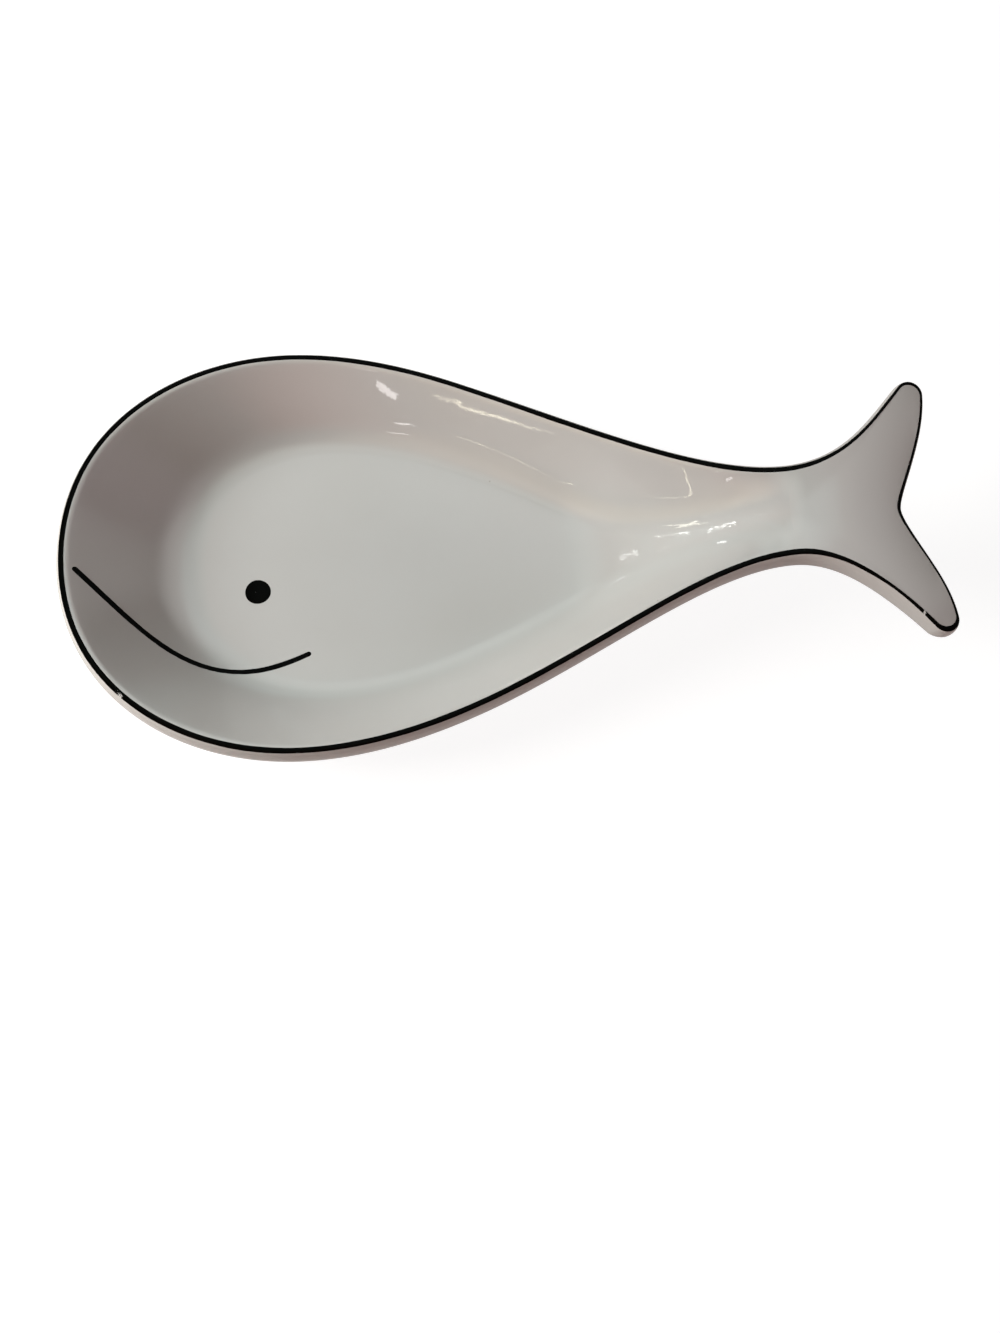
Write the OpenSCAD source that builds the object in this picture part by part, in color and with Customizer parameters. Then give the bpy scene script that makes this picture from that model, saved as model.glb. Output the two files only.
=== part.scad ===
// Whale-shaped ceramic spoon rest: a teardrop bowl whose handle rises to a forked tail.
// X runs from the nose (-X) to the tail (+X), Z is up, and the foot stands on Z = 0.

/* [Outline] */
// Overall length from the nose to the fluke tips
body_len = 239; // [220:1:260]
// Greatest width of the bowl
bowl_w = 117; // [104:1:132]
// Distance from the nose to the bowl's widest place
bowl_pos = 64.5; // [58:0.5:72]
// Width of the handle at its neck
neck_w = 28; // [25:0.5:34]
// Distance from the nose to the neck
neck_pos = 197.5; // [192:0.5:204]
// Distance across the two flukes
fluke_span = 74.5; // [68:0.5:84]
// Radius of each fluke's round tip
tip_r = 4.8; // [4:0.1:6]
// Depth of the notch between the flukes
notch_depth = 11; // [9:0.5:13]

/* [Curves] */
// How far the outline leaves the nose before it turns
nose_pull = 37; // [34:1:42]
// How far the outline stays level before the widest place
cheek_pull = 34; // [30:1:38]
// How far the outline stays level after the widest place
flank_pull = 52; // [46:1:58]
// How far the outline stays level before the neck
waist_pull = 33; // [28:1:38]
// How far the outline stays level after the neck
root_pull = 14.5; // [11:0.5:17]
// How far a fluke's outer edge runs straight into its tip
fluke_pull = 12.5; // [10:0.5:16]
// How far a fluke's rear edge runs straight out of its tip
rear_pull = 14; // [11:0.5:17]
// How far the outline stays square to the axis at the notch
notch_pull = 4.5; // [3:0.1:6]
// Angle on the tip's arc where the outer edge meets it
tip_from = 138; // [132:1:146]
// Angle on the tip's arc where the rear edge leaves it
tip_to = -5; // [-12:1:0]

/* [Heights] */
// Depth of the bowl from rim to floor
bowl_depth = 16.5; // [14:0.5:19]
// Thickness of the floor
floor_t = 4.5; // [4:0.1:6]
// Thickness of the handle and the flukes
tail_t = 7; // [6:0.5:8]
// How far the rim rises from the bowl to the tail
tail_rise = 19; // [14:0.5:22]
// How far the fluke tips droop from that rise
tail_curl = 3; // [0:0.5:4]
// Distance from the nose to where the rim starts to rise
rise_start = 110; // [100:1:120]
// How far the rim dips at the notch, below the fluke tips
notch_dip = 2; // [1:0.5:4]
// Length of the tail over which that dip comes in
dip_len = 15; // [12:1:20]
// Depth of the handle's channel at the neck, below its rim
neck_depth = 1.5; // [1:0.1:3]
// Depth of the flukes' hollow at the notch, below their rim
tail_depth = 0.3; // [0.2:0.1:1]
// Distance from the nose to where the floor starts to rise
ramp_start = 138; // [132:1:144]
// Distance from the nose to where the channel runs along with the rim
ramp_end = 202; // [196:1:208]

/* [Lip and wall] */
// How far the lip bulges outside its crest
lip_over = 2.1; // [1.8:0.1:2.5]
// Height of the lip's outer round above its widest place
lip_drop = 5; // [4:0.5:6]
// Height of the lip's outer round below its widest place
lip_tuck = 2; // [1.5:0.1:2.5]
// Width of the round between the lip's crest and the wall
lip_round = 2.2; // [1.6:0.1:2.8]
// Width of the wall in plan along the bowl's sides
side_run = 23.5; // [21:0.5:26]
// Width of the wall in plan at the nose
nose_run = 35; // [31:0.5:38]
// Width of the round between the wall and the floor
floor_round = 10; // [8:0.5:12]

/* [Foot] */
// Height of the bare foot ring
foot_h = 2; // [1.5:0.1:3]
// Width of the foot ring
foot_w = 4; // [3:0.5:6]
// Distance of the foot ring inside the edge of the flat base
foot_inset = 3; // [2:0.5:5]
// Size of the bevel along both edges of the foot
foot_bevel = 0.5; // [0.3:0.1:0.8]
// How far the rear end of the foot comes to a point
foot_nib = 2; // [1:0.5:3]

/* [Glaze and paint] */
// Thickness of the glaze coat
glaze_t = 0.4; // [0.3:0.05:0.6]
// Width of the painted line along the rim
line_w = 1.5; // [1:0.1:2]
// Thickness of the painted lines
paint_t = 0.2; // [0.15:0.05:0.4]
// Height at which the painted smile sits on the curved glaze
paint_seat = 0.26; // [0.25:0.01:0.34]
// Width of the painted smile
smile_w = 1.4; // [1:0.1:2]
// Diameter of the painted eye
eye_d = 6.6; // [5:0.1:8]
// Height of the eye's dome
eye_h = 0.8; // [0.4:0.1:1.2]
// Distance from the nose to the eye
eye_pos = 51.5; // [46:0.5:58]
// Distance of the eye from the middle line
eye_side = 7.5; // [4:0.5:10]

/* [Hidden] */

// Places along the length, and heights
nose_x = -body_len / 2;
tail_x = body_len / 2;
wide_x = nose_x + bowl_pos;
neck_x = nose_x + neck_pos;
notch_x = tail_x - notch_depth;
base_z = foot_h;
floor_z = base_z + floor_t;
rim_z = floor_z + bowl_depth;
tip_at = [tail_x - tip_r, fluke_span / 2 - tip_r];

// Section lines in the tail end along the middle line between the neck and this distance before the notch
fork_gap = 14;
// Share of the way to the middle line that the wall takes where the body is narrow
narrow_share = 0.94;
// Angle round the lip's underside at which the outer wall leaves it
tuck_angle = 130;
// Rounded shares of the wall in the tail, at the lip and at the middle line
tail_lip_share = 0.12;
tail_floor_share = 0.54;
// Rounded share of the outer wall just under the lip
tuck_share = 0.02;
// Share of the way in at which the outer wall has its first point
outer_share = 0.3;
// Angles round the lip, between the painted line and the tuck, at which it has points
lip_angles = [42, 66, 90, 112];
// Share of the paint's thickness that is left at the edges of a stroke
paint_edge = 0.7;

// Points of the half outline on each of its stretches
nose_steps = 14;
flank_steps = 14;
root_steps = 7;
tip_steps = 7;
rear_steps = 6;
// Steps of a section across the round between the wall and the floor
round_steps = 4;

// The painted smile's curve, from wall to floor, as distances from the nose and from the middle line
smile_path = [[5.5, -3.5], [24.5, -22.5], [36, -39], [65, -26]];
smile_steps = 28;

function mix(a, b, t) = a + (b - a) * t;
function smooth(t) = let (k = max(0, min(1, t))) k * k * (3 - 2 * k);
function unit(v) = v / norm(v);
function bezier(p, t) =
    pow(1 - t, 3) * p[0] + 3 * t * pow(1 - t, 2) * p[1] + 3 * t * t * (1 - t) * p[2] + pow(t, 3) * p[3];
function flip(p) = len(p) == 2 ? [p[0], -p[1]] : [p[0], -p[1], p[2]];

// Half of the outline, from the nose along the +Y side to the notch
function on_tip(a) = tip_at + tip_r * [cos(a), sin(a)];
function along_tip(a) = [sin(a), -cos(a)];
nose_curve = [
    [nose_x, 0],
    [nose_x, nose_pull],
    [wide_x - cheek_pull, bowl_w / 2],
    [wide_x, bowl_w / 2]
];
flank_curve = [
    [wide_x, bowl_w / 2],
    [wide_x + flank_pull, bowl_w / 2],
    [neck_x - waist_pull, neck_w / 2],
    [neck_x, neck_w / 2]
];
root_curve = [
    [neck_x, neck_w / 2],
    [neck_x + root_pull, neck_w / 2],
    on_tip(tip_from) - along_tip(tip_from) * fluke_pull,
    on_tip(tip_from)
];
rear_curve = [
    on_tip(tip_to),
    on_tip(tip_to) + along_tip(tip_to) * rear_pull,
    [notch_x, notch_pull],
    [notch_x, 0]
];
half = concat(
    [for (k = [0:nose_steps - 1]) bezier(nose_curve, k / nose_steps)],
    [for (k = [0:flank_steps - 1]) bezier(flank_curve, k / flank_steps)],
    [for (k = [0:root_steps - 1]) bezier(root_curve, k / root_steps)],
    [for (k = [0:tip_steps - 1]) on_tip(mix(tip_from, tip_to, k / tip_steps))],
    [for (k = [0:rear_steps]) bezier(rear_curve, k / rear_steps)]
);
last = len(half) - 1;
around = 2 * last;
neck_i = nose_steps + flank_steps;

// Heights of the rim's crest, of the dish's bottom and of its underside at a place in plan
function crest_z(p) =
    rim_z + tail_rise * smooth((p[0] - nose_x - rise_start) / (body_len - rise_start))
    - tail_curl * pow(max(0, (p[0] - neck_x) / (tail_x - neck_x)), 2)
    - notch_dip * smooth((p[0] - notch_x + dip_len) / dip_len) * (1 - smooth(abs(p[1]) / tip_at[1]));
function ramp(p) = smooth((p[0] - nose_x - ramp_start) / (ramp_end - ramp_start));
function channel_depth(p) = mix(neck_depth, tail_depth, smooth((p[0] - neck_x) / (notch_x - neck_x)));
function bottom_z(p) = mix(floor_z, crest_z(p) - channel_depth(p), ramp(p));
function under_z(p) = bottom_z(p) - mix(floor_t, tail_t, ramp(p));

// Direction square to the outline, pointing inward
inward = [for (i = [0:last])
    let (before = i == 0 ? flip(half[1]) : half[i - 1])
    let (after = i == last ? flip(half[last - 1]) : half[i + 1])
    let (t = unit(after - before))
    [t[1], -t[0]]];

// Inside the crest a section runs square to the outline, or in the tail to its place on the middle line
crest = [for (i = [0:last]) half[i] + inward[i] * lip_over];
aim = [for (i = [0:last])
    [mix(neck_x, notch_x - fork_gap, (i - neck_i) / (last - neck_i)), 0]];
heading = [for (i = [0:last]) i <= neck_i ? inward[i] : unit(aim[i] - crest[i])];
reach = [for (i = [0:last])
    i > neck_i ? norm(aim[i] - crest[i]) : i == 0 ? body_len : -crest[i][1] / inward[i][1]];

function wall_run(facing_tail) = mix(side_run, nose_run, facing_tail);
run = [for (i = [0:last])
    i > neck_i ? narrow_share * reach[i] : min(wall_run(inward[i][0]), narrow_share * reach[i])];
function plan(i, s) = s <= lip_over ? half[i] + inward[i] * s : crest[i] + heading[i] * (s - lip_over);

// Fall of a wall from 0 at its top to 1 at its foot, with a rounded share at each end
function fall(t, a, b) =
    let (m = 1 / (1 - a / 2 - b / 2))
    t < a ? m * t * t / (2 * a) : t < 1 - b ? m * (t - a / 2) : 1 - m * pow(1 - t, 2) / (2 * b);
lip_share = [for (i = [0:last]) i > neck_i ? tail_lip_share : min(tail_lip_share, lip_round / run[i])];
floor_share = [for (i = [0:last])
    i > neck_i ? tail_floor_share : min(tail_floor_share, floor_round / run[i])];

// Points of a section as [inset, height]: first the dish's inside, then the lip, then the outside
function inside_point(i, t) =
    let (s = lip_over + run[i] * t)
    let (p = plan(i, s))
    [s, mix(crest_z(p), bottom_z(p), fall(t, lip_share[i], floor_share[i]))];
function lip_point(i, a) =
    let (s = lip_over * (1 - sin(a)))
    [s, crest_z(plan(i, s)) - lip_drop + (cos(a) > 0 ? lip_drop : lip_tuck) * cos(a)];
function outside_point(i, t) =
    let (top = lip_point(i, tuck_angle))
    let (s = mix(top[0], lip_over + run[i], t))
    let (p = plan(i, s))
    let (z_top = crest_z(p) - lip_drop + lip_tuck * cos(tuck_angle))
    [s, mix(z_top, under_z(p), fall(t, tuck_share, floor_share[i]))];
line_angle = asin(line_w / 2 / lip_over);
function section(i) =
    let (a = lip_share[i])
    let (b = floor_share[i])
    concat(
        [for (k = [0:round_steps]) inside_point(i, 1 - k * b / round_steps)],
        [inside_point(i, mix(a, 1 - b, 0.5)), inside_point(i, a)],
        [inside_point(i, line_w / 2 / run[i])],
        [for (angle = concat([0, line_angle], lip_angles, [tuck_angle])) lip_point(i, angle)],
        [for (t = [outer_share, 1 - b, 1 - b / 2, 1]) outside_point(i, t)]
    );
sections = [for (i = [0:last]) section(i)];
ring_count = len(sections[0]);
// The ring along the painted line's inner edge; the next two are the crest and the line's outer edge
line_ring = round_steps + 3;

// A section moved into the body by a thickness, square to its own outline
function shrunk(points, t) = [for (j = [0:ring_count - 1])
    let (before = points[max(0, j - 1)])
    let (after = points[min(ring_count - 1, j + 1)])
    let (v = unit(after - before))
    j == 0 ? points[j] - [0, t] : j == ring_count - 1 ? points[j] + [0, t] : points[j] + t * [-v[1], v[0]]];

// Bodies are closed by rings of points, one ring for each place along the sections
function place(i, point) = let (p = plan(i, point[0])) [p[0], p[1], point[1]];
function ring(all_sections, j) = concat(
    [for (i = [0:last]) place(i, all_sections[i][j])],
    [for (i = [last - 1:-1:1]) flip(place(i, all_sections[i][j]))]
);
function rings(all_sections) = [for (j = [0:ring_count - 1]) each ring(all_sections, j)];
clay_sections = [for (i = [0:last]) shrunk(sections[i], glaze_t)];

// The flat base ends where the floor starts to rise; the foot is a smaller copy of that floor
base_edge = [for (i = [0:neck_i]) plan(i, lip_over + run[i])];
flat_i = max([for (i = [0:neck_i]) if (base_edge[i][0] <= nose_x + ramp_start) i]);
pinch_i = max([for (i = [0:neck_i]) if (wall_run(inward[i][0]) < narrow_share * reach[i]) i]);
foot_from = base_edge[0][0] + foot_inset;
foot_to = base_edge[flat_i][0] - foot_inset - foot_nib;
base_half_w = max([for (p = base_edge) p[1]]);
base_len = base_edge[pinch_i][0] - base_edge[0][0];
function foot_edge(inset) =
    let (scale_x = (foot_to - foot_from - 2 * inset) / base_len)
    let (scale_y = (base_half_w - foot_inset - inset) / base_half_w)
    let (side = [for (i = [0:pinch_i])
        [foot_from + inset + (base_edge[i][0] - base_edge[0][0]) * scale_x, base_edge[i][1] * scale_y]])
    concat(side, [[foot_to - inset + foot_nib, 0]], [for (i = [pinch_i:-1:1]) flip(side[i])]);
foot_half = pinch_i + 1;
foot_around = 2 * foot_half;
function foot_ring(inset, z) = [for (p = foot_edge(inset)) [p[0], p[1], z]];

// Faces between two rings, whose diagonals are mirrored in the middle line
function band(n, p, q, swap = false) = [for (i = [0:n - 1])
    let (k = (i + 1) % n)
    each (i < n / 2) != swap
        ? [[p + i, q + i, q + k], [p + i, q + k, p + k]]
        : [[p + i, q + i, p + k], [q + i, q + k, p + k]]];
function bands(n, p, count) = [for (j = [0:count - 2]) each band(n, p + j * n, p + (j + 1) * n)];
function back(faces) = [for (f = faces) [for (i = [len(f) - 1:-1:0]) f[i]]];

// Faces across the inside of a ring, from one side of the middle line to the other
function ladder(n, p, from = 0) = [for (i = [from:n / 2 - 1])
    let (a = p + i)
    let (b = p + i + 1)
    let (c = p + n - i - 1)
    let (d = p + (n - i) % n)
    each concat(b == c ? [] : [[a, b, c]], a == d ? [] : [[a, c, d]])];

// Faces between two open rows of points of unlike counts
function zip_faces(outer, inner) =
    let (k = len(outer) - 1)
    let (h = len(inner) - 1)
    [for (i = [0:k - 1])
        let (f = floor(i * h / k))
        let (g = floor((i + 1) * h / k))
        each concat(
            [[outer[i], outer[i + 1], inner[f]]],
            f == g ? [] : [for (e = [f:g - 1]) [outer[i + 1], inner[e + 1], inner[e]]]
        )];

// Underside of the flat base round the foot, and of the handle behind it; m is the point between the two
function base_faces(p, q, m) =
    let (n = around)
    let (k = flat_i)
    let (near = [for (i = [0:k]) p + (n - i) % n])
    let (near_foot = [for (i = [0:foot_half]) q + (foot_around - i) % foot_around])
    let (tip = q + foot_half)
    concat(
        zip_faces([for (i = [0:k]) p + i], [for (i = [0:foot_half]) q + i]),
        back(zip_faces(near, near_foot)),
        [[p + k, m, tip], [tip, m, p + n - k]],
        [[m, p + k, p + k + 1], [m, p + k + 1, p + n - k - 1], [m, p + n - k - 1, p + n - k]],
        ladder(n, p, k + 1)
    );
function base_middle(z) = [base_edge[flat_i][0], 0, z];

ring_points = ring_count * around;
last_ring = ring_points - around;
clay_base_z = base_z + glaze_t;
foot_rows = [
    [0, clay_base_z],
    [0, foot_bevel],
    [foot_bevel, 0],
    [foot_w - foot_bevel, 0],
    [foot_w, foot_bevel],
    [foot_w, clay_base_z]
];

// Fired clay with its bare foot ring
module clay_body() {
    middle = ring_points;
    foot = middle + 1;
    well = foot + (len(foot_rows) - 1) * foot_around;
    points = concat(
        rings(clay_sections),
        [base_middle(clay_base_z)],
        [for (row = foot_rows) each foot_ring(row[0], row[1])]
    );
    faces = concat(
        ladder(around, 0),
        bands(around, 0, ring_count),
        back(base_faces(last_ring, foot, middle)),
        bands(foot_around, foot, len(foot_rows)),
        back(ladder(foot_around, well))
    );
    color("linen") polyhedron(points, faces);
}

// Glaze over the inside, the lip, the outside and the handle, down to the foot
module dish_glaze() {
    middle = ring_points;
    foot = middle + 1;
    clay = foot + foot_around;
    clay_middle = clay + ring_points;
    clay_foot = clay_middle + 1;
    points = concat(
        rings(sections),
        [base_middle(base_z)],
        foot_ring(0, base_z),
        rings(clay_sections),
        [base_middle(clay_base_z)],
        foot_ring(0, clay_base_z)
    );
    faces = concat(
        ladder(around, 0),
        bands(around, 0, ring_count),
        back(base_faces(last_ring, foot, middle)),
        band(foot_around, foot, clay_foot),
        base_faces(clay + last_ring, clay_foot, clay_middle),
        back(bands(around, clay, ring_count)),
        back(ladder(around, clay))
    );
    color("white") polyhedron(points, faces);
}

// Glaze in the well inside the foot ring
module base_glaze() {
    color("white")
        translate([0, 0, base_z])
            linear_extrude(glaze_t)
                polygon(foot_edge(foot_w));
}

// Painted line along the crest of the lip, thickest in its middle
module rim_line() {
    edge_t = paint_t * paint_edge;
    sides = 6;
    over_edge = [for (i = [0:last]) shrunk(sections[i], -edge_t)];
    over_crest = [for (i = [0:last]) shrunk(sections[i], -paint_t)];
    points = concat(
        ring(over_edge, line_ring),
        ring(over_crest, line_ring + 1),
        ring(over_edge, line_ring + 2),
        ring(sections, line_ring + 2),
        ring(sections, line_ring + 1),
        ring(sections, line_ring)
    );
    faces = [for (j = [0:sides - 1])
        each band(around, j * around, (j + 1) % sides * around, j >= sides / 2)];
    color("black") polyhedron(points, faces);
}

// Painted eye, a low dome on the bowl's floor
module eye_dot() {
    dome_r = (pow(eye_d / 2, 2) + pow(eye_h, 2)) / (2 * eye_h);
    dome_angle = asin(eye_d / 2 / dome_r);
    dome_steps = 6;
    dome_facets = 48;
    profile = [for (k = [0:dome_steps])
        dome_r * [sin(dome_angle * k / dome_steps), cos(dome_angle * k / dome_steps)]];
    color("black")
        translate([nose_x + eye_pos, -eye_side, floor_z + eye_h - dome_r])
            rotate_extrude($fn = dome_facets)
                polygon(concat([[0, dome_r - eye_h]], profile));
}

// Height of the bowl's inside at a place in plan, from its distance to the outline
function foot_on(p, a, b) = mix(a, b, max(0, min(1, (p - a) * (b - a) / ((b - a) * (b - a)))));
function dish_z(p) =
    let (q = [p[0], abs(p[1])])
    let (feet = [for (i = [0:neck_i - 1]) foot_on(q, half[i], half[i + 1])])
    let (gaps = [for (f = feet) norm(q - f)])
    let (gap = min(gaps))
    let (nearest = [for (i = [0:neck_i - 1]) if (gaps[i] == gap) feet[i]][0])
    let (w = wall_run((q - nearest)[0] / gap))
    mix(crest_z(p), bottom_z(p), fall(min(1, (gap - lip_over) / w), lip_round / w, floor_round / w));

// Painted smile, a stroke with round ends laid on the bowl's wall and floor
module smile_line() {
    path = [for (p = smile_path) [nose_x + p[0], p[1]]];
    cap_angles = [8, 35, 62];
    cap_last = len(cap_angles) - 1;
    nudge = 0.01;
    sides = 6;
    function heading_at(t) = unit(bezier(path, min(1, t + nudge)) - bezier(path, max(0, t - nudge)));
    function cap(t, side, a) = [bezier(path, t) + heading_at(t) * side * cos(a) * smile_w / 2, t, sin(a)];
    stations = concat(
        [for (a = cap_angles) cap(0, -1, a)],
        [for (k = [0:smile_steps]) [bezier(path, k / smile_steps), k / smile_steps, 1]],
        [for (i = [cap_last:-1:0]) cap(1, 1, cap_angles[i])]
    );
    points = [for (s = stations) each
        let (h = heading_at(s[1]))
        let (side = [-h[1], h[0]] * s[2] * smile_w / 2)
        let (across = [s[0] + side, s[0], s[0] - side])
        let (under = [for (p = across) dish_z(p) + paint_seat])
        let (over = paint_t * [paint_edge, 1, paint_edge])
        concat(
            [for (j = [0:2]) [across[j][0], across[j][1], under[j]]],
            [for (j = [2:-1:0]) [across[j][0], across[j][1], under[j] + over[j]]]
        )];
    n = len(stations);
    skin = [for (i = [0:n - 2]) for (j = [0:sides - 1])
        let (a = i * sides + j)
        let (b = i * sides + (j + 1) % sides)
        each [[a, b, b + sides], [a, b + sides, a + sides]]];
    first_cap = [[0, 4, 1], [0, 5, 4], [1, 4, 2], [2, 4, 3]];
    last_cap = [for (f = first_cap) [for (i = [2:-1:0]) f[i] + (n - 1) * sides]];
    color("black") polyhedron(points, concat(skin, first_cap, last_cap));
}

clay_body();
dish_glaze();
base_glaze();
rim_line();
eye_dot();
smile_line();
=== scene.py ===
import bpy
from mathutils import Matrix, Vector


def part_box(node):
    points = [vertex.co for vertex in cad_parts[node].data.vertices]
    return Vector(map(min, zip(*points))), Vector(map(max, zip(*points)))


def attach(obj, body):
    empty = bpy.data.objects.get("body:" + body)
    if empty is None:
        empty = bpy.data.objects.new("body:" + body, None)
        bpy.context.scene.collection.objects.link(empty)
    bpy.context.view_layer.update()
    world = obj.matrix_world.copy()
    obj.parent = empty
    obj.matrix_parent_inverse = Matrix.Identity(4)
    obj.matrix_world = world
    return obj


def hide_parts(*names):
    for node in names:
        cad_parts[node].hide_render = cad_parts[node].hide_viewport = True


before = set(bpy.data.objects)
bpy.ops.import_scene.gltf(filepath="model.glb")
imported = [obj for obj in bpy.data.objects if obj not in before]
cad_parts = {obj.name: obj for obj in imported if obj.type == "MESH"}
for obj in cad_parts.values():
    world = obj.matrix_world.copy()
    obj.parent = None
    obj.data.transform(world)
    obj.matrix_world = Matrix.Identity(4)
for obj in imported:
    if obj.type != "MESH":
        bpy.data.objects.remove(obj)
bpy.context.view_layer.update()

import math

import bmesh
import bpy
import numpy as np
from mathutils import Matrix, Vector

MM = 0.001

# The dish's outline, in millimetres from the nose or across the middle line
BODY_LEN = 239.0
BOWL_W = 117.0
BOWL_POS = 64.5
NECK_W = 28.0
NECK_POS = 197.5
FLUKE_SPAN = 74.5
TIP_R = 4.8
NOTCH_DEPTH = 11.0

# How far the outline keeps its direction at each place before it turns
NOSE_PULL = 37.0
CHEEK_PULL = 34.0
FLANK_PULL = 52.0
WAIST_PULL = 33.0
ROOT_PULL = 14.5
FLUKE_PULL = 12.5
REAR_PULL = 14.0
NOTCH_PULL = 4.5

# Angles on a fluke's round tip where its outer edge meets it and its rear edge leaves it, in degrees
TIP_FROM = 138.0
TIP_TO = -5.0

# Heights, and the distances from the nose at which they change
BOWL_DEPTH = 16.5
FLOOR_T = 4.5
TAIL_T = 7.0
TAIL_RISE = 19.0
TAIL_CURL = 3.0
RISE_START = 110.0
RAMP_START = 138.0
RAMP_END = 202.0
NECK_DEPTH = 1.5
TAIL_DEPTH = 0.1

# Dip of the rim at the notch: its depth, the length over which it comes, and the share at which it stops
NOTCH_DIP = 1.5
DIP_LEN = 28.5
DIP_MOST = 1.2

# Places on the X axis between which the handle's channel goes over into the flat tail
FLAT_FROM = 66.0
FLAT_TO = 96.0

# Lip and wall, with the shares of a section that are rounded
LIP_OVER = 2.1
FLUKE_LIP_OVER = 1.3
LIP_DROP = 5.0
FLUKE_LIP_DROP = 5.6
TIP_LIP_DROP = 3.6
LIP_TUCK = 2.0
LIP_ROUND = 2.2
SIDE_RUN = 23.5
NOSE_RUN = 35.0
FLOOR_ROUND = 10.0
NOSE_ROUND = 13.0
TUCK_ANGLE = math.radians(130)
TUCK_SHARE = 0.02
NARROW_SHARE = 0.94
TAIL_LIP_SHARE = 0.12
TAIL_FLOOR_SHARE = 0.54
# The tail's last section ends on the middle line this far before the notch
FORK_GAP = 14.0

# Foot, glaze and paint; the smile and the eye are placed from the nose and the middle line
FOOT_H = 2.0
FOOT_W = 4.0
FOOT_BEVEL = 0.5
FOOT_NIB = 2.0
GLAZE_T = 0.4
LINE_W = 1.5
PAINT_T = 0.06
PAINT_SINK = 0.06
SMILE_W = 1.4
SMILE_PATH = [(5.6, -4.2), (24.7, -22.6), (36.2, -39.2), (65.6, -26.2)]
EYE_D = 7.1
EYE_H = 0.35
EYE_POS = 51.8
EYE_SIDE = 7.5

# The solid model's facets end this much short of its length
FACET_GAP = 0.02

NOSE_X = -BODY_LEN / 2
TAIL_X = BODY_LEN / 2 - FACET_GAP
WIDE_X = NOSE_X + BOWL_POS
NECK_X = NOSE_X + NECK_POS
NOTCH_X = TAIL_X - NOTCH_DEPTH
BASE_Z = FOOT_H
FLOOR_Z = BASE_Z + FLOOR_T
RIM_Z = FLOOR_Z + BOWL_DEPTH
TIP_AT = np.array([TAIL_X - TIP_R, FLUKE_SPAN / 2 - TIP_R])


def mix(a, b, t):
    return a + (b - a) * t


def smooth(t):
    k = np.clip(t, 0, 1)
    return k * k * (3 - 2 * k)


def bezier(points, t):
    a, b, c, d = (np.asarray(p, float) for p in points)
    t = np.asarray(t, float)[:, None]
    return (1 - t) ** 3 * a + 3 * t * (1 - t) ** 2 * b + 3 * t * t * (1 - t) * c + t ** 3 * d


def bump(far, at, length):
    """A soft hump of height 1 at a place."""
    return np.exp(-((far - at) / length) ** 2)


def distances(points):
    """Distance of each point from the first, along the line of points."""
    return np.concatenate([[0], np.cumsum(np.linalg.norm(np.diff(points, axis=0), axis=1))])


def spread(points, n):
    """The same line with n points, evenly spaced."""
    far = distances(points)
    at = np.linspace(0, far[-1], n)
    return np.stack([np.interp(at, far, points[:, k]) for k in range(points.shape[1])], axis=1)


# Half of the outline, from the nose along the +Y side to the notch
def on_tip(degrees):
    """Points on a fluke's round tip."""
    a = np.radians(np.atleast_1d(degrees))
    return TIP_AT + TIP_R * np.stack([np.cos(a), np.sin(a)], axis=1)


def along_tip(degrees):
    """Direction of the outline at a point of the round tip."""
    a = math.radians(degrees)
    return np.array([math.sin(a), -math.cos(a)])


# Steps along each stretch of the half outline, and the tail stretches' shares of the middle line
NOSE_STEPS, FLANK_STEPS, ROOT_STEPS, TIP_STEPS, REAR_STEPS = 90, 110, 80, 28, 40
ROOT_SHARE, TIP_SHARE, REAR_SHARE = 0.35, 0.35, 0.3


def half_outline():
    """Points of the half outline, and for the tail's points their share of the middle line."""
    wide = [WIDE_X, BOWL_W / 2]
    neck = [NECK_X, NECK_W / 2]
    tip_start = on_tip(TIP_FROM)[0]
    tip_end = on_tip(TIP_TO)[0]
    nose = [[NOSE_X, 0], [NOSE_X, NOSE_PULL], [WIDE_X - CHEEK_PULL, BOWL_W / 2], wide]
    flank = [wide, [WIDE_X + FLANK_PULL, BOWL_W / 2], [NECK_X - WAIST_PULL, NECK_W / 2], neck]
    root = [neck, [NECK_X + ROOT_PULL, NECK_W / 2], tip_start - along_tip(TIP_FROM) * FLUKE_PULL, tip_start]
    rear = [tip_end, tip_end + along_tip(TIP_TO) * REAR_PULL, [NOTCH_X, NOTCH_PULL], [NOTCH_X, 0]]
    t_nose = np.arange(NOSE_STEPS) / NOSE_STEPS
    t_flank = np.arange(FLANK_STEPS) / FLANK_STEPS
    t_root = np.arange(ROOT_STEPS) / ROOT_STEPS
    t_tip = np.arange(TIP_STEPS) / TIP_STEPS
    t_rear = np.arange(REAR_STEPS + 1) / REAR_STEPS
    points = np.concatenate([
        bezier(nose, t_nose),
        bezier(flank, t_flank),
        bezier(root, t_root),
        on_tip(mix(TIP_FROM, TIP_TO, t_tip)),
        bezier(rear, t_rear),
    ])
    share = np.concatenate([
        np.zeros(NOSE_STEPS + FLANK_STEPS),
        t_root * ROOT_SHARE,
        ROOT_SHARE + t_tip * TIP_SHARE,
        ROOT_SHARE + TIP_SHARE + t_rear * REAR_SHARE,
    ])
    return points, share


half, tail_share = half_outline()
last = len(half) - 1
neck_i = NOSE_STEPS + FLANK_STEPS
in_tail = np.arange(last + 1) > neck_i


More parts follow.
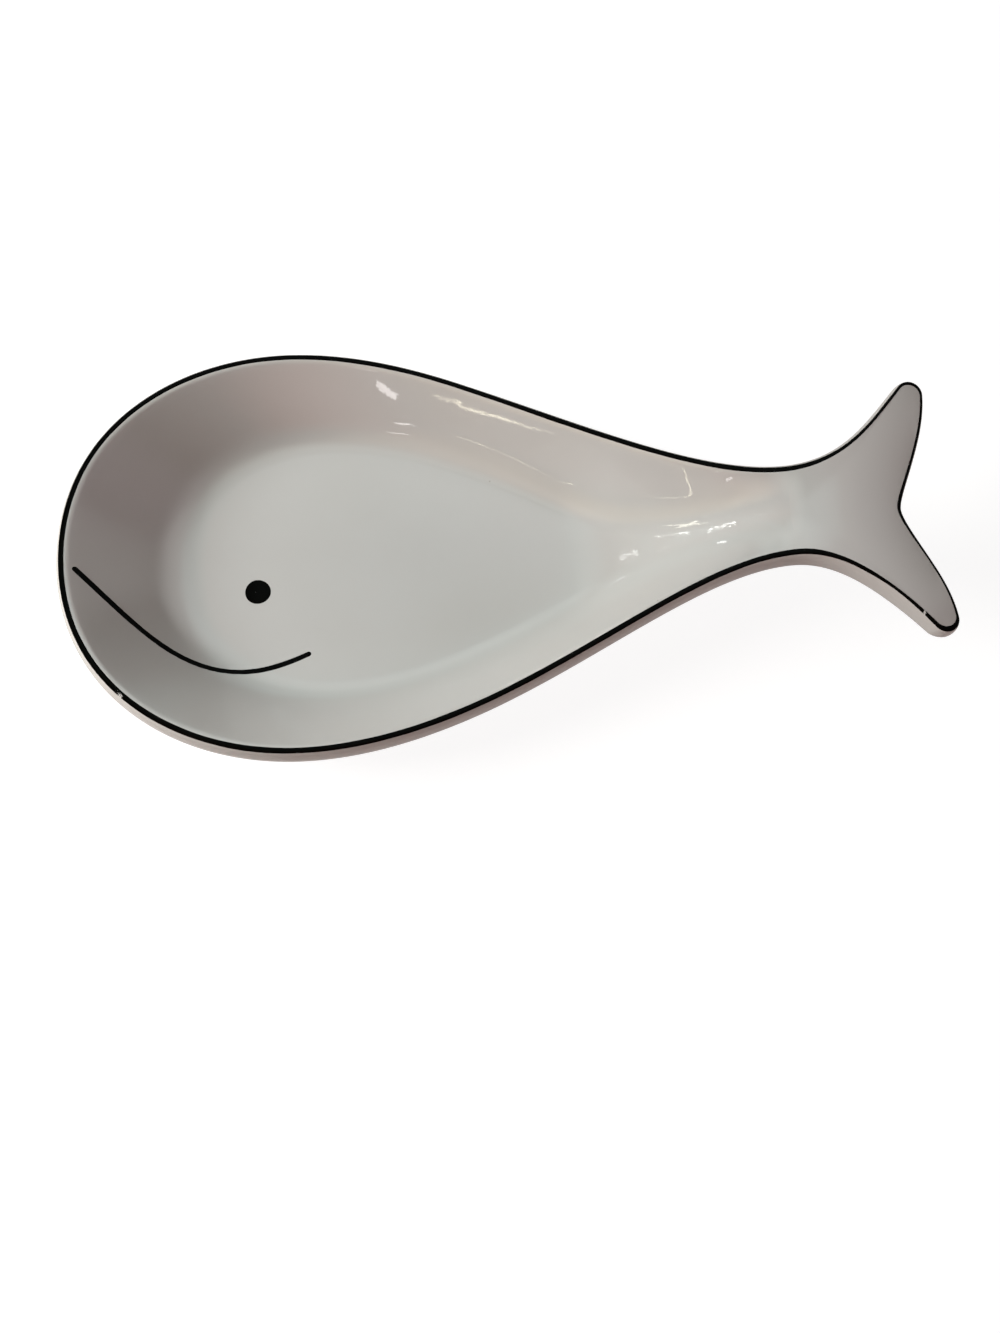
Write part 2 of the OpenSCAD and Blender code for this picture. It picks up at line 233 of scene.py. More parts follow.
def crest_z(x, y):
    """Height of the rim's crest, carried on over the whole dish."""
    rise = TAIL_RISE * smooth((x - NOSE_X - RISE_START) / (BODY_LEN - RISE_START))
    curl = TAIL_CURL * np.maximum(0, (x - NECK_X) / (TAIL_X - NECK_X)) ** 2
    at_notch = np.clip((x - NOTCH_X + DIP_LEN) / DIP_LEN, 0, DIP_MOST) ** 2
    dip = NOTCH_DIP * at_notch * (1 - smooth(np.abs(y) / TIP_AT[1]))
    return RIM_Z + rise - curl - dip


def ramp(x):
    """Share of the way up from the bowl's floor to the tail."""
    return smooth((x - NOSE_X - RAMP_START) / (RAMP_END - RAMP_START))


def bottom_z(x, y):
    """Height of the floor of the bowl, the handle's channel and the tail."""
    depth = mix(NECK_DEPTH, TAIL_DEPTH, smooth((x - FLAT_FROM) / (FLAT_TO - FLAT_FROM)))
    return mix(FLOOR_Z, crest_z(x, y) - depth, ramp(x))


def under_z(x, y):
    """Height of the underside."""
    return bottom_z(x, y) - mix(FLOOR_T, TAIL_T, ramp(x))


def unit(v):
    return v / np.linalg.norm(v, axis=-1, keepdims=True)


def facing_in(points):
    """Directions in plan, square to the outline and into the dish."""
    before = np.concatenate([points[1:2] * [1, -1], points[:-1]])
    after = np.concatenate([points[1:], points[-2:-1] * [1, -1]])
    along = unit(after - before)
    return np.stack([along[:, 1], -along[:, 0]], axis=1)


# The flukes' lip is slimmer than the bowl's, and shallow round the tips
# Its taper to the tips is in shares of the fluke's root
TIP_TAPER_FROM, TIP_TAPER_LEN = 0.55, 0.95
on_fluke = smooth(tail_share / ROOT_SHARE)
on_rear = smooth((tail_share - ROOT_SHARE) / TIP_SHARE)
on_tip_end = smooth((tail_share / ROOT_SHARE - TIP_TAPER_FROM) / TIP_TAPER_LEN)
lip_over = mix(LIP_OVER, FLUKE_LIP_OVER, on_fluke)
lip_drop = mix(mix(LIP_DROP, FLUKE_LIP_DROP, on_fluke), TIP_LIP_DROP, on_tip_end)
half = half + facing_in(half) * ((LIP_OVER - lip_over) * (1 - on_rear))[:, None]
inward = facing_in(half)

# Sections run square to the outline, or in the tail to their own places on the middle line
# At the nose the section lies on the middle line
LEAST_SLOPE = 1e-9
crest = half + inward * lip_over[:, None]
aim = np.stack([mix(NECK_X, NOTCH_X - FORK_GAP, tail_share), np.zeros(last + 1)], axis=1)
to_aim = aim - crest
heading = np.where(in_tail[:, None], unit(to_aim), inward)
across = np.minimum(inward[:, 1], -LEAST_SLOPE)
reach = np.where(in_tail, np.linalg.norm(to_aim, axis=1), np.minimum(-crest[:, 1] / across, BODY_LEN))
reach[0] = BODY_LEN


def wall_run(facing_tail):
    """Width of the wall in plan, by how far it faces the tail."""
    return mix(SIDE_RUN, NOSE_RUN, facing_tail)


def wall_round(facing_tail):
    """Width of the round at the wall's foot, by how far the wall faces the tail."""
    return mix(FLOOR_ROUND, NOSE_ROUND, np.maximum(0, facing_tail))


def soft_least(a, b, blend):
    """The lesser of two values, rounded over where they cross."""
    return np.minimum(a, b) - np.maximum(blend - np.abs(a - b), 0) ** 2 / (4 * blend)


# Where the two walls meet at the throat, their forms pass softly into the handle's
RUN_BLEND = 8.0
LIP_BLEND = 0.01
FLOOR_BLEND = 0.05
narrow = NARROW_SHARE * reach
run = np.where(in_tail, narrow, soft_least(wall_run(inward[:, 0]), narrow, RUN_BLEND))
lip_share = np.where(in_tail, TAIL_LIP_SHARE, soft_least(TAIL_LIP_SHARE, LIP_ROUND / run, LIP_BLEND))
floor_share = soft_least(TAIL_FLOOR_SHARE, wall_round(inward[:, 0]) / run, FLOOR_BLEND)
floor_share = np.where(in_tail, TAIL_FLOOR_SHARE, floor_share)


def fall(t, a, b):
    """Fall of a wall from 0 at its top to 1 at its foot, with a rounded share at each end."""
    slope = 1 / (1 - a / 2 - b / 2)
    top = slope * t * t / (2 * a)
    middle = slope * (t - a / 2)
    foot = 1 - slope * (1 - t) ** 2 / (2 * b)
    return np.where(t < a, top, np.where(t < 1 - b, middle, foot))


def plan(s):
    """Places in plan at the insets s, an array with one row for each station."""
    inner = np.maximum(s - lip_over[:, None], 0)[..., None]
    outer = np.minimum(s, lip_over[:, None])[..., None]
    return half[:, None] + inward[:, None] * outer + heading[:, None] * inner


def inside(t):
    """Points of the dish's inside, from the crest at 0 to the floor at 1."""
    s = lip_over[:, None] + run[:, None] * t
    x, y = np.moveaxis(plan(s), -1, 0)
    z = mix(crest_z(x, y), bottom_z(x, y), fall(t, lip_share[:, None], floor_share[:, None]))
    return np.stack([s, z], axis=-1)


def lip(angle):
    """Points round the lip's outside, from the crest at 0 to the tuck."""
    drop = lip_drop[:, None]
    s = lip_over[:, None] * (1 - np.sin(angle))
    x, y = np.moveaxis(plan(s), -1, 0)
    z = crest_z(x, y) - drop + np.where(np.cos(angle) > 0, drop, LIP_TUCK) * np.cos(angle)
    return np.stack([s, z], axis=-1)


def outside(t):
    """Points of the outside, from the lip's tuck at 0 to the base at 1."""
    over = lip_over[:, None]
    s = mix(over * (1 - math.sin(TUCK_ANGLE)), over + run[:, None], t)
    x, y = np.moveaxis(plan(s), -1, 0)
    z_top = crest_z(x, y) - lip_drop[:, None] + LIP_TUCK * math.cos(TUCK_ANGLE)
    z = mix(z_top, under_z(x, y), fall(t, TUCK_SHARE, floor_share[:, None]))
    return np.stack([s, z], axis=-1)


# Steps of a section: the floor's round, the wall, the lip's inside, its roll and the outside
FLOOR_ROWS, WALL_ROWS, LIP_ROWS, ROLL_ROWS, OUTER_ROWS = 12, 12, 8, 22, 12


def steps(n, first=0):
    """A row of the shares k / n up to 1, from the first k on."""
    return np.arange(first, n + 1)[None] / n


def dish_sections():
    """Sections as insets and heights, from the floor over the crest and the lip to the base."""
    a, b = lip_share[:, None], floor_share[:, None]
    inner = np.concatenate([
        1 - b * steps(FLOOR_ROWS),
        mix(1 - b, a, steps(WALL_ROWS, 1)),
        a * (1 - steps(LIP_ROWS, 1)),
    ], axis=1)
    outer = np.concatenate([(1 - b) * steps(OUTER_ROWS, 1), 1 - b + b * steps(FLOOR_ROWS, 1)], axis=1)
    return np.concatenate([inside(inner), lip(TUCK_ANGLE * steps(ROLL_ROWS, 1)), outside(outer)], axis=1)


def moved_in(lines, t):
    """Sections moved into the body by a thickness, square to their own outline."""
    v = np.empty_like(lines)
    v[:, 1:-1] = unit(lines[:, 2:] - lines[:, :-2])
    v[:, 0] = [-1, 0]
    v[:, -1] = [1, 0]
    return lines + t * np.stack([-v[..., 1], v[..., 0]], axis=-1)


def placed(lines):
    """Points in place from insets and heights."""
    return np.concatenate([plan(lines[..., 0]), lines[..., 1:]], axis=-1)


sections = dish_sections()
clay_sections = moved_in(sections, GLAZE_T)
inner_rows = FLOOR_ROWS + WALL_ROWS + LIP_ROWS + 1


# Pieces are welded from sheets of points, each made for one side and mirrored
def mirrored(sheet):
    return sheet * [1, -1, 1]


NOTCH_ASIDE = 1.3
# Points are joined where they agree to one of these parts of a millimetre
WELD_PARTS = 1e4


def notch_aside(points):
    """The points with the tail's notch moved a little to the near side, as on the hand-made dish."""
    x, y, z = points.T
    share = smooth((x - NOTCH_X + DIP_LEN) / DIP_LEN) * (1 - smooth(np.abs(y) / TIP_AT[1]))
    return np.stack([x, y - NOTCH_ASIDE * share, z], axis=1)


def welded(name, sheets, tones=None):
    """A piece from sheets of points in millimetres.

    tones holds one value a point for each named surface tone.
    """
    points = notch_aside(np.concatenate([s.reshape(-1, 3) for s in sheets]))
    key = np.round(points * WELD_PARTS).astype(np.int64)
    _, first, index = np.unique(key, axis=0, return_index=True, return_inverse=True)
    index = index.ravel()
    faces = []
    start = 0
    for s in sheets:
        rows, cols = s.shape[:2]
        grid = index[start:start + rows * cols].reshape(rows, cols)
        start += rows * cols
        corners = np.stack([grid[:-1, :-1], grid[1:, :-1], grid[1:, 1:], grid[:-1, 1:]], axis=-1)
        for quad in corners.reshape(-1, 4).tolist():
            face = [v for k, v in enumerate(quad) if v != quad[k - 1]]
            if len(set(face)) == len(face) and len(face) > 2:
                faces.append(face)
    mesh = bpy.data.meshes.new(name)
    mesh.from_pydata((points[first] * MM).tolist(), [], faces)
    for tone, values in (tones or {}).items():
        flat = np.concatenate([np.broadcast_to(v, s.shape[:2]).ravel() for v, s in zip(values, sheets)])
        layer = mesh.attributes.new(tone, "FLOAT", "POINT")
        layer.data.foreach_set("value", flat[first].astype(np.float32))
    shell = bmesh.new()
    shell.from_mesh(mesh)
    bmesh.ops.recalc_face_normals(shell, faces=shell.faces)
    shell.to_mesh(mesh)
    shell.free()
    mesh.polygons.foreach_set("use_smooth", [True] * len(mesh.polygons))
    piece = bpy.data.objects.new(name, mesh)
    bpy.context.scene.collection.objects.link(piece)
    return piece


AXIS_ROWS = 6


def to_axis(points):
    """Rows of points from one edge straight across to the middle line."""
    share = 1 - np.arange(AXIS_ROWS + 1) / AXIS_ROWS
    rows = np.repeat(points[:, None], AXIS_ROWS + 1, axis=1)
    rows[..., 1] *= share
    return rows


# The foot keeps the place that it has in the solid model
well_low, well_high = (np.array(corner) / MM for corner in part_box("base_glaze"))
FOOT_ROWS = 120


def foot_loop(inset):
    """Half of the foot's outline at a distance inside its outer edge, from the nose end to the tail end."""
    # Follows the solid model's wall, without the soft pass into the handle
    full_run = np.minimum(wall_run(inward[:, 0]), narrow)
    floor_edge = plan((lip_over + full_run)[:, None])[:neck_i + 1, 0]
    pinch = np.flatnonzero(full_run[:neck_i + 1] < narrow[:neck_i + 1]).max()
    edge = floor_edge[:pinch + 1]
    low = well_low[0] - FOOT_W + inset
    high = well_high[0] + FOOT_W - inset - FOOT_NIB
    wide = well_high[1] + FOOT_W - inset
    x = low + (edge[:, 0] - edge[0, 0]) * (high - low) / (edge[-1, 0] - edge[0, 0])
    y = edge[:, 1] * wide / edge[:, 1].max()
    loop = np.concatenate([np.stack([x, y], axis=1), [[high + FOOT_NIB, 0]]])
    return spread(loop, FOOT_ROWS + 1)


def level(loop, z):
    """A line of places in plan, put at one height."""
    return np.concatenate([loop, np.full((len(loop), 1), float(z))], axis=1)


BASE_ROWS = 4


def underside(skin, z):
    """Sheets under the dish: round the foot, and behind it to the tail."""
    base = skin[:, -1]
    flat_i = np.flatnonzero(base[:neck_i + 1, 0] <= NOSE_X + RAMP_START).max()
    behind = to_axis(base[flat_i:])
    rim = np.concatenate([base[:flat_i], behind[0]])
    foot = spread(level(foot_loop(0), z), len(rim))
    rows = np.arange(BASE_ROWS + 1)[:, None, None] / BASE_ROWS
    return [(1 - rows) * rim + rows * foot, behind], foot


def coat_sheets(all_sections, z):
    """Sheets of one side of the dish down to the foot, and the edge at the foot."""
    skin = placed(all_sections)
    below, foot = underside(skin, z)
    return [skin, to_axis(skin[:, 0]), *below], foot


def both_sides(sheets):
    return sheets + [mirrored(s) for s in sheets]


clay_base_z = BASE_Z + GLAZE_T
BEVEL_ROWS = 4
# Where the glaze is thin, in shares of the lip's roll, and where it pools, in shares of the floor's round
THIN_AT, THIN_LEN = 0.2, 0.3
POOL_AT, POOL_LEN = 0.55, 0.4


def make_glaze():
    """The glaze coat over the whole dish down to the foot, toned where it is thin and where it pools."""
    over, foot = coat_sheets(sections, BASE_Z)
    under, clay_foot = coat_sheets(clay_sections, clay_base_z)
    rows = np.arange(sections.shape[1])
    thin = bump(rows, inner_rows + ROLL_ROWS * THIN_AT, ROLL_ROWS * THIN_LEN)[None]
    pooled = bump(rows, FLOOR_ROWS * POOL_AT, FLOOR_ROWS * POOL_LEN)[None] * (1 - in_tail[:, None])
    sheets = both_sides(over + under + [np.stack([foot, clay_foot])])
    blank = [0.0] * (len(sheets) // 2 - 1)
    tones = {
        "thin_glaze": ([thin] + blank) * 2,
        "pooled_glaze": ([pooled] + blank) * 2,
    }
    return welded("glaze_coat", sheets, tones)


def make_clay():
    """The fired clay under the glaze, with its bare foot ring."""
    sheets, foot = coat_sheets(clay_sections, clay_base_z)
    turn = np.linspace(0, math.pi / 2, BEVEL_ROWS + 1)
    profile = [(0.0, clay_base_z)]
    profile += [(FOOT_BEVEL * (1 - math.cos(a)), FOOT_BEVEL * (1 - math.sin(a))) for a in turn]
    profile += [(FOOT_W - FOOT_BEVEL * (1 - math.sin(a)), FOOT_BEVEL * (1 - math.cos(a))) for a in turn]
    profile += [(FOOT_W, clay_base_z)]
    rows = [foot] + [spread(level(foot_loop(i), z), len(foot)) for i, z in profile[1:]]
    sheets += [np.stack(rows), to_axis(rows[-1])]
    return welded("fired_clay", both_sides(sheets))


WELL_ROUND = 0.3


def make_well():
    """The glaze in the well inside the foot ring, with a rounded edge."""
    turn = np.linspace(0, math.pi / 2, BEVEL_ROWS + 1)
    profile = [(FOOT_W, clay_base_z)]
    profile += [
        (FOOT_W + WELL_ROUND * (1 - math.cos(a)), BASE_Z + WELL_ROUND * (1 - math.sin(a)))
        for a in turn
    ]
    rows = [level(foot_loop(i), z) for i, z in profile]
    sheets = [np.stack(rows), to_axis(rows[-1]), to_axis(rows[0])]
    return welded("well_glaze", both_sides(sheets))


# Steps across a painted stroke, and the power that rounds its top: less is fuller
STROKE_COLS = 8
STROKE_FULLNESS = 0.7


def stroke_profile():
    """Places across a painted stroke from -1 to 1, and the share of the paint's thickness at each."""
    q = np.sin(np.linspace(-math.pi / 2, math.pi / 2, STROKE_COLS + 1))
    return q, np.sqrt(np.maximum(0, 1 - q * q)) ** STROKE_FULLNESS


def once_round(top, under):
    """Values at the points once round a stroke: across its top and back underneath."""
    return np.concatenate([top, under[:, ::-1], top[:, :1]], axis=1)


# Waves of a hand-painted line: share, millimetres to a radian, turn by the seed and fixed turn
HAND_WAVES = [(0.5, 9.0, 1.0, 0.0), (0.3, 4.1, 2.3, 1.0), (0.2, 1.9, 1.7, 2.0)]


def hand_waver(far, seed):
    """A slow unevenness of a hand-painted line along its length in millimetres."""
    return sum(share * np.sin(far / length + by * seed + turn) for share, length, by, turn in HAND_WAVES)


# Unevenness of the painted line's two edges, which fades over a length where its halves meet
LINE_UNEVEN = 0.07
LINE_FADE = 6.0
INNER_SEED, OUTER_SEED = 1.0, 4.0
# Share of the line's width that is left along the tail's rear edge
REAR_LINE = 0.8
# Share of the lip outside its crest that the line may take
LINE_MOST = 0.9
# On the near side the line thins before the place where the brush was lifted, and thickens round the tip
LIFT_AT = 274.6
THIN_LINE, THIN_LINE_AT, THIN_LINE_LEN = 0.8, LIFT_AT - 8, 7
THICK_LINE, THICK_LINE_AT, THICK_LINE_LEN = 1.1, LIFT_AT + 12, 6
# Worn places on the near side: distance along the rim from the nose, length, slant, strength and reach
LINE_WORN = [(45.6, 1.2, 0.0, 0.62, -0.5), (LIFT_AT, 0.42, 0.9, 0.8, -1.5)]
WORN_EDGE = 0.5
rim_far = distances(half)


def line_share(side):
    """The painted line's width along the rim, as a share of its usual one."""
    share = mix(1, REAR_LINE, on_rear)
    if side:
        share = share * mix(1, THIN_LINE, bump(rim_far, THIN_LINE_AT, THIN_LINE_LEN))
        share = share * mix(1, THICK_LINE, bump(rim_far, THICK_LINE_AT, THICK_LINE_LEN))
    return share


def lip_at(distance):
    """Points of the lip outside its crest at a distance in plan, one a station."""
    return lip(np.arcsin(np.clip(distance / lip_over, 0, 1))[:, None])


def rim_stroke(side):
    """Half of the painted line along the lip's crest, as a closed band of points."""
    fade = smooth(rim_far / LINE_FADE) * smooth((rim_far[-1] - rim_far) / LINE_FADE)
    q, bulge = stroke_profile()
    half_w = LINE_W / 2 * line_share(side)
    inner = half_w * (1 + LINE_UNEVEN * fade * hand_waver(rim_far, INNER_SEED + side))
    outer = half_w * (1 + LINE_UNEVEN * fade * hand_waver(rim_far, OUTER_SEED + side))
    outer = np.minimum(outer, LINE_MOST * lip_over)
    rows = []
    for k in range(STROKE_COLS + 1):
        if q[k] < 0:
            rows.append(inside(-q[k] * inner[:, None] / run[:, None]))
        else:
            rows.append(lip_at(q[k] * outer))
    band = np.concatenate(rows, axis=1)
    v = np.empty_like(band)
    v[:, 1:-1] = unit(band[:, 2:] - band[:, :-2])
    v[:, 0] = unit(band[:, 1] - band[:, 0])
    v[:, -1] = unit(band[:, -1] - band[:, -2])
    out = np.stack([v[..., 1], -v[..., 0]], axis=-1)
    top = band + out * (PAINT_T * bulge)[None, :, None]
    under = band - out * PAINT_SINK
    return placed(once_round(top, under))


def line_wear():
    """How worn the near side's line is at each point of its band."""
    q, _ = stroke_profile()
    worn = np.zeros((last + 1, STROKE_COLS + 1))
    for at, length, slant, strength, reach_in in LINE_WORN:
        place = bump(rim_far[:, None] - slant * q[None], at, length) * strength
        worn = np.maximum(worn, place * smooth((q[None] - reach_in) / WORN_EDGE))
    return once_round(worn, worn)


def make_rim_line():
    """The painted line round the lip, with the places on the near side where it is worn."""
    sheets = [rim_stroke(0), mirrored(rim_stroke(1))]
    return welded("rim_line_paint", sheets, {"worn_paint": [0.0, line_wear()]})


def dish_z(p):
    """Height of the bowl's inside at places in plan, from their distance to the outline."""
    q = np.stack([p[..., 0], np.abs(p[..., 1])], axis=-1)
    a, b = half[:neck_i], half[1:neck_i + 1]
    edge = b - a
    share = np.clip(((q[..., None, :] - a) * edge).sum(-1) / (edge * edge).sum(-1), 0, 1)
    away = q[..., None, :] - (a + share[..., None] * edge)
    gaps = np.linalg.norm(away, axis=-1)
    k = gaps.argmin(-1)
    gap = np.take_along_axis(gaps, k[..., None], -1)[..., 0]
    facing = np.take_along_axis(away[..., 0], k[..., None], -1)[..., 0] / gap
    w = wall_run(facing)
    drop = fall(np.minimum(1, (gap - LIP_OVER) / w), LIP_ROUND / w, wall_round(facing) / w)
    return mix(crest_z(p[..., 0], p[..., 1]), bottom_z(p[..., 0], p[..., 1]), drop)


# Distance over which the dish's slope is taken
SLOPE_STEP = 0.05


def laid(p, height):
    """Points on the bowl's inside at places in plan, raised square to it."""
    e = SLOPE_STEP
    z = dish_z(p)
    slope = np.stack([
        (dish_z(p + [e, 0]) - dish_z(p - [e, 0])) / (2 * e),
        (dish_z(p + [0, e]) - dish_z(p - [0, e])) / (2 * e),
    ], axis=-1)
    normal = unit(np.concatenate([-slope, np.ones(slope.shape[:-1] + (1,))], axis=-1))
    return np.concatenate([p, z[..., None]], axis=-1) + normal * height[..., None]


SMILE_ROWS = 110
SMILE_CAP_ROWS = 8
SMILE_UNEVEN = 0.06
SMILE_SEED = 2.0
# Angle round the stroke's end at which its points start
CAP_FROM = 0.04


def make_smile():
    """The painted smile, one stroke with round ends laid on the wall and the floor."""
    path = [(NOSE_X + x, y) for x, y in SMILE_PATH]
    t = np.linspace(0, 1, SMILE_ROWS + 1)
    line = bezier(path, t)
    way = unit(np.gradient(line, axis=0))
    half_w = SMILE_W / 2 * (1 + SMILE_UNEVEN * hand_waver(distances(line), SMILE_SEED))
    turn = np.linspace(CAP_FROM, math.pi / 2, SMILE_CAP_ROWS + 1)[:-1]
    first = line[:1] - way[:1] * half_w[0] * np.cos(turn)[:, None]
    final = (line[-1:] + way[-1:] * half_w[-1] * np.cos(turn)[:, None])[::-1]
    line = np.concatenate([first, line, final])
    way = np.concatenate([np.repeat(way[:1], len(turn), 0), way, np.repeat(way[-1:], len(turn), 0)])
    half_w = np.concatenate([half_w[0] * np.sin(turn), half_w, half_w[-1] * np.sin(turn)[::-1]])
    side = np.stack([-way[:, 1], way[:, 0]], axis=1)
    q, bulge = stroke_profile()
    p = line[:, None] + side[:, None] * (q[None] * half_w[:, None])[..., None]
    raised = np.minimum(1, half_w / half_w.max())[:, None] * PAINT_T * bulge[None]
    top = laid(p, raised)
    under = laid(p, np.full(raised.shape, -PAINT_SINK))
    ends = [np.stack([top[k], under[k]]) for k in (0, -1)]
    return welded("smile_paint", [once_round(top, under), *ends])


EYE_SPOKES = 72
EYE_RINGS = 16
EYE_FULLNESS = 0.6
# Unevenness of the eye's edge: share, waves round it and turn
EYE_WAVES = [(0.012, 2, 0.7), (0.008, 3, 2.0)]


def eye_ring(share, z):
    """A ring of points round the eye's middle at a share of its radius."""
    spokes = np.linspace(0, 2 * math.pi, EYE_SPOKES + 1)
    uneven = 1 + sum(wave * np.sin(count * spokes + turn) for wave, count, turn in EYE_WAVES)
    r = EYE_D / 2 * share * uneven
    x = NOSE_X + EYE_POS + r * np.cos(spokes)
    y = r * np.sin(spokes) - EYE_SIDE
    x[-1], y[-1] = x[0], y[0]
    return level(np.stack([x, y], axis=1), z)


def make_eye():
    """The painted eye, a thick round drop of enamel on the bowl's floor."""
    shares = np.sin(np.linspace(0, math.pi / 2, EYE_RINGS + 1))
    crown = EYE_H * (1 - shares ** 2) ** EYE_FULLNESS
    rows = [eye_ring(share, FLOOR_Z + h) for share, h in zip(shares, crown)]
    rows += [eye_ring(share, FLOOR_Z - PAINT_SINK) for share in (shares[-1], shares[0])]
    return welded("eye_paint", [np.stack(rows)])


# Materials
def put(tree, kind, sockets=None, **fields):
    """A node with its fields set, and its sockets set or linked."""
    made = tree.nodes.new(kind)
    for field, value in fields.items():
        setattr(made, field, value)
    for socket, value in (sockets or {}).items():
        if isinstance(value, bpy.types.NodeSocket):
            tree.links.new(value, made.inputs[socket])
        else:
            made.inputs[socket].default_value = value
    return made


def scaled(tree, value, by):
    return put(tree, "ShaderNodeMath", {0: value, 1: by}, operation="MULTIPLY").outputs[0]


def colour_mix(tree, share, a, b):
    return put(tree, "ShaderNodeMix", {"Factor": share, "A": a, "B": b}, data_type="RGBA").outputs["Result"]


def effect(name, inputs, outputs):
    """An empty node group with named sockets. inputs gives each name its kind and its usual value."""
    group = bpy.data.node_groups.new(name, "ShaderNodeTree")
    for socket, (kind, value) in inputs.items():
        made = group.interface.new_socket(socket, in_out="INPUT", socket_type="NodeSocket" + kind)
        made.default_value = value
    for socket, kind in outputs.items():
        group.interface.new_socket(socket, in_out="OUTPUT", socket_type="NodeSocket" + kind)
    return group, group.nodes.new("NodeGroupInput").outputs, group.nodes.new("NodeGroupOutput").inputs


def soft_noise(group, scale, detail):
    """Soft noise from 0 to 1 that stays in place on the piece."""
    place = put(group, "ShaderNodeTexCoord").outputs["Object"]
    noise = put(group, "ShaderNodeTexNoise", {"Vector": place, "Scale": scale, "Detail": detail})
    return noise.outputs["Fac"]


def surface_waver():
    """Slow swell and fine ripple of a fired surface, as a height and as a change of gloss."""
    group, given, result = effect(
        "surface_waver",
        {"Swell Scale": ("Float", 45.0), "Ripple Scale": ("Float", 420.0), "Ripple Share": ("Float", 0.15),
         "Gloss Low": ("Float", 0.08), "Gloss High": ("Float", 0.16)},
        {"Height": "Float", "Roughness": "Float"},
    )
    swell = soft_noise(group, given["Swell Scale"], 1.5)
    ripple = soft_noise(group, given["Ripple Scale"], 2.0)
    height = put(group, "ShaderNodeMix", {"Factor": given["Ripple Share"], "A": swell, "B": ripple})
    gloss = put(group, "ShaderNodeMapRange", {
        "Value": swell, "From Min": 0.3, "From Max": 0.7,
        "To Min": given["Gloss Low"], "To Max": given["Gloss High"]})
    group.links.new(height.outputs["Result"], result["Height"])
    group.links.new(gloss.outputs["Result"], result["Roughness"])
    return group


def cloudy_tone():
    """A soft uneven blend of two colours."""
    group, given, result = effect(
        "cloudy_tone",
        {"First Colour": ("Color", (0.8, 0.8, 0.8, 1)), "Second Colour": ("Color", (0.7, 0.7, 0.7, 1)),
         "Cloud Scale": ("Float", 25.0)},
        {"Colour": "Color"},
    )
    haze = soft_noise(group, given["Cloud Scale"], 4.0)
    share = put(group, "ShaderNodeMapRange", {"Value": haze, "From Min": 0.35, "From Max": 0.65})
    blend = colour_mix(group, share.outputs["Result"], given["First Colour"], given["Second Colour"])
    group.links.new(blend, result["Colour"])
    return group


def kiln_specks():
    """Small dark specks that firing leaves, as a mask."""
    group, given, result = effect(
        "kiln_specks",
        {"Speck Scale": ("Float", 260.0), "Speck Size": ("Float", 0.1), "Rarity": ("Float", 0.8)},
        {"Mask": "Float"},
    )
    place = put(group, "ShaderNodeTexCoord").outputs["Object"]
    cells = put(group, "ShaderNodeTexVoronoi", {"Vector": place, "Scale": given["Speck Scale"]})
    pick = put(group, "ShaderNodeSeparateColor", {"Color": cells.outputs["Color"]})
    near = put(group, "ShaderNodeMath", {
        0: cells.outputs["Distance"], 1: given["Speck Size"]}, operation="LESS_THAN")
    rare = put(group, "ShaderNodeMath", {
        0: pick.outputs["Red"], 1: given["Rarity"]}, operation="GREATER_THAN")
    group.links.new(scaled(group, near.outputs[0], rare.outputs[0]), result["Mask"])
    return group


def paint_wear():
    """Ragged places where paint has worn through, as a mask."""
    group, given, result = effect(
        "paint_wear",
        {"Wear": ("Float", 0.0), "Fleck Scale": ("Float", 1800.0), "Raggedness": ("Float", 1.2)},
        {"Mask": "Float"},
    )
    fleck = soft_noise(group, given["Fleck Scale"], 2.0)
    swing = put(group, "ShaderNodeMath", {0: fleck, 1: 0.5}, operation="SUBTRACT")
    ragged = put(group, "ShaderNodeMath", {
        0: swing.outputs[0], 1: given["Raggedness"], 2: given["Wear"]}, operation="MULTIPLY_ADD")
    mask = put(group, "ShaderNodeMapRange", {
        "Value": ragged.outputs[0], "From Min": 0.45, "From Max": 0.55})
    group.links.new(mask.outputs["Result"], result["Mask"])
    return group


waver = surface_waver()
cloud = cloudy_tone()
specks = kiln_specks()
wear = paint_wear()


def material(name):
    """An empty finish: the material, its nodes and its one shader."""
    made = bpy.data.materials.new(name)
    made.use_nodes = True
    made.node_tree.nodes.clear()
    tree = made.node_tree
    shader = put(tree, "ShaderNodeBsdfPrincipled")
    put(tree, "ShaderNodeOutputMaterial", {"Surface": shader.outputs["BSDF"]})
    return made, tree, shader


def effect_node(tree, group, sockets):
    """A shared effect placed in a finish with its own values."""
    made = tree.nodes.new("ShaderNodeGroup")
    made.node_tree = group
    for socket, value in sockets.items():
        made.inputs[socket].default_value = value
    return made


def surfaced(tree, shader, colour, surface, distance, strength):
    """Gives a shader its colour, and the gloss and relief of a fired surface."""
    relief = put(tree, "ShaderNodeBump", {
        "Height": surface.outputs["Height"], "Distance": distance, "Strength": strength})
    tree.links.new(colour, shader.inputs["Base Color"])
    tree.links.new(surface.outputs["Roughness"], shader.inputs["Roughness"])
    tree.links.new(relief.outputs["Normal"], shader.inputs["Normal"])


GLAZE_WHITE = (0.66, 0.655, 0.64, 1)
GLAZE_WARM = (0.645, 0.635, 0.615, 1)
GLAZE_THIN = (0.6, 0.565, 0.53, 1)
GLAZE_POOL = (0.6, 0.615, 0.6, 1)
SPECK_BROWN = (0.3, 0.26, 0.22, 1)
# How strongly pooled and thin glaze and specks show
POOL_TINT, THIN_TINT, GLAZE_SPECK_TINT, CLAY_SPECK_TINT = 0.5, 0.4, 0.5, 0.6


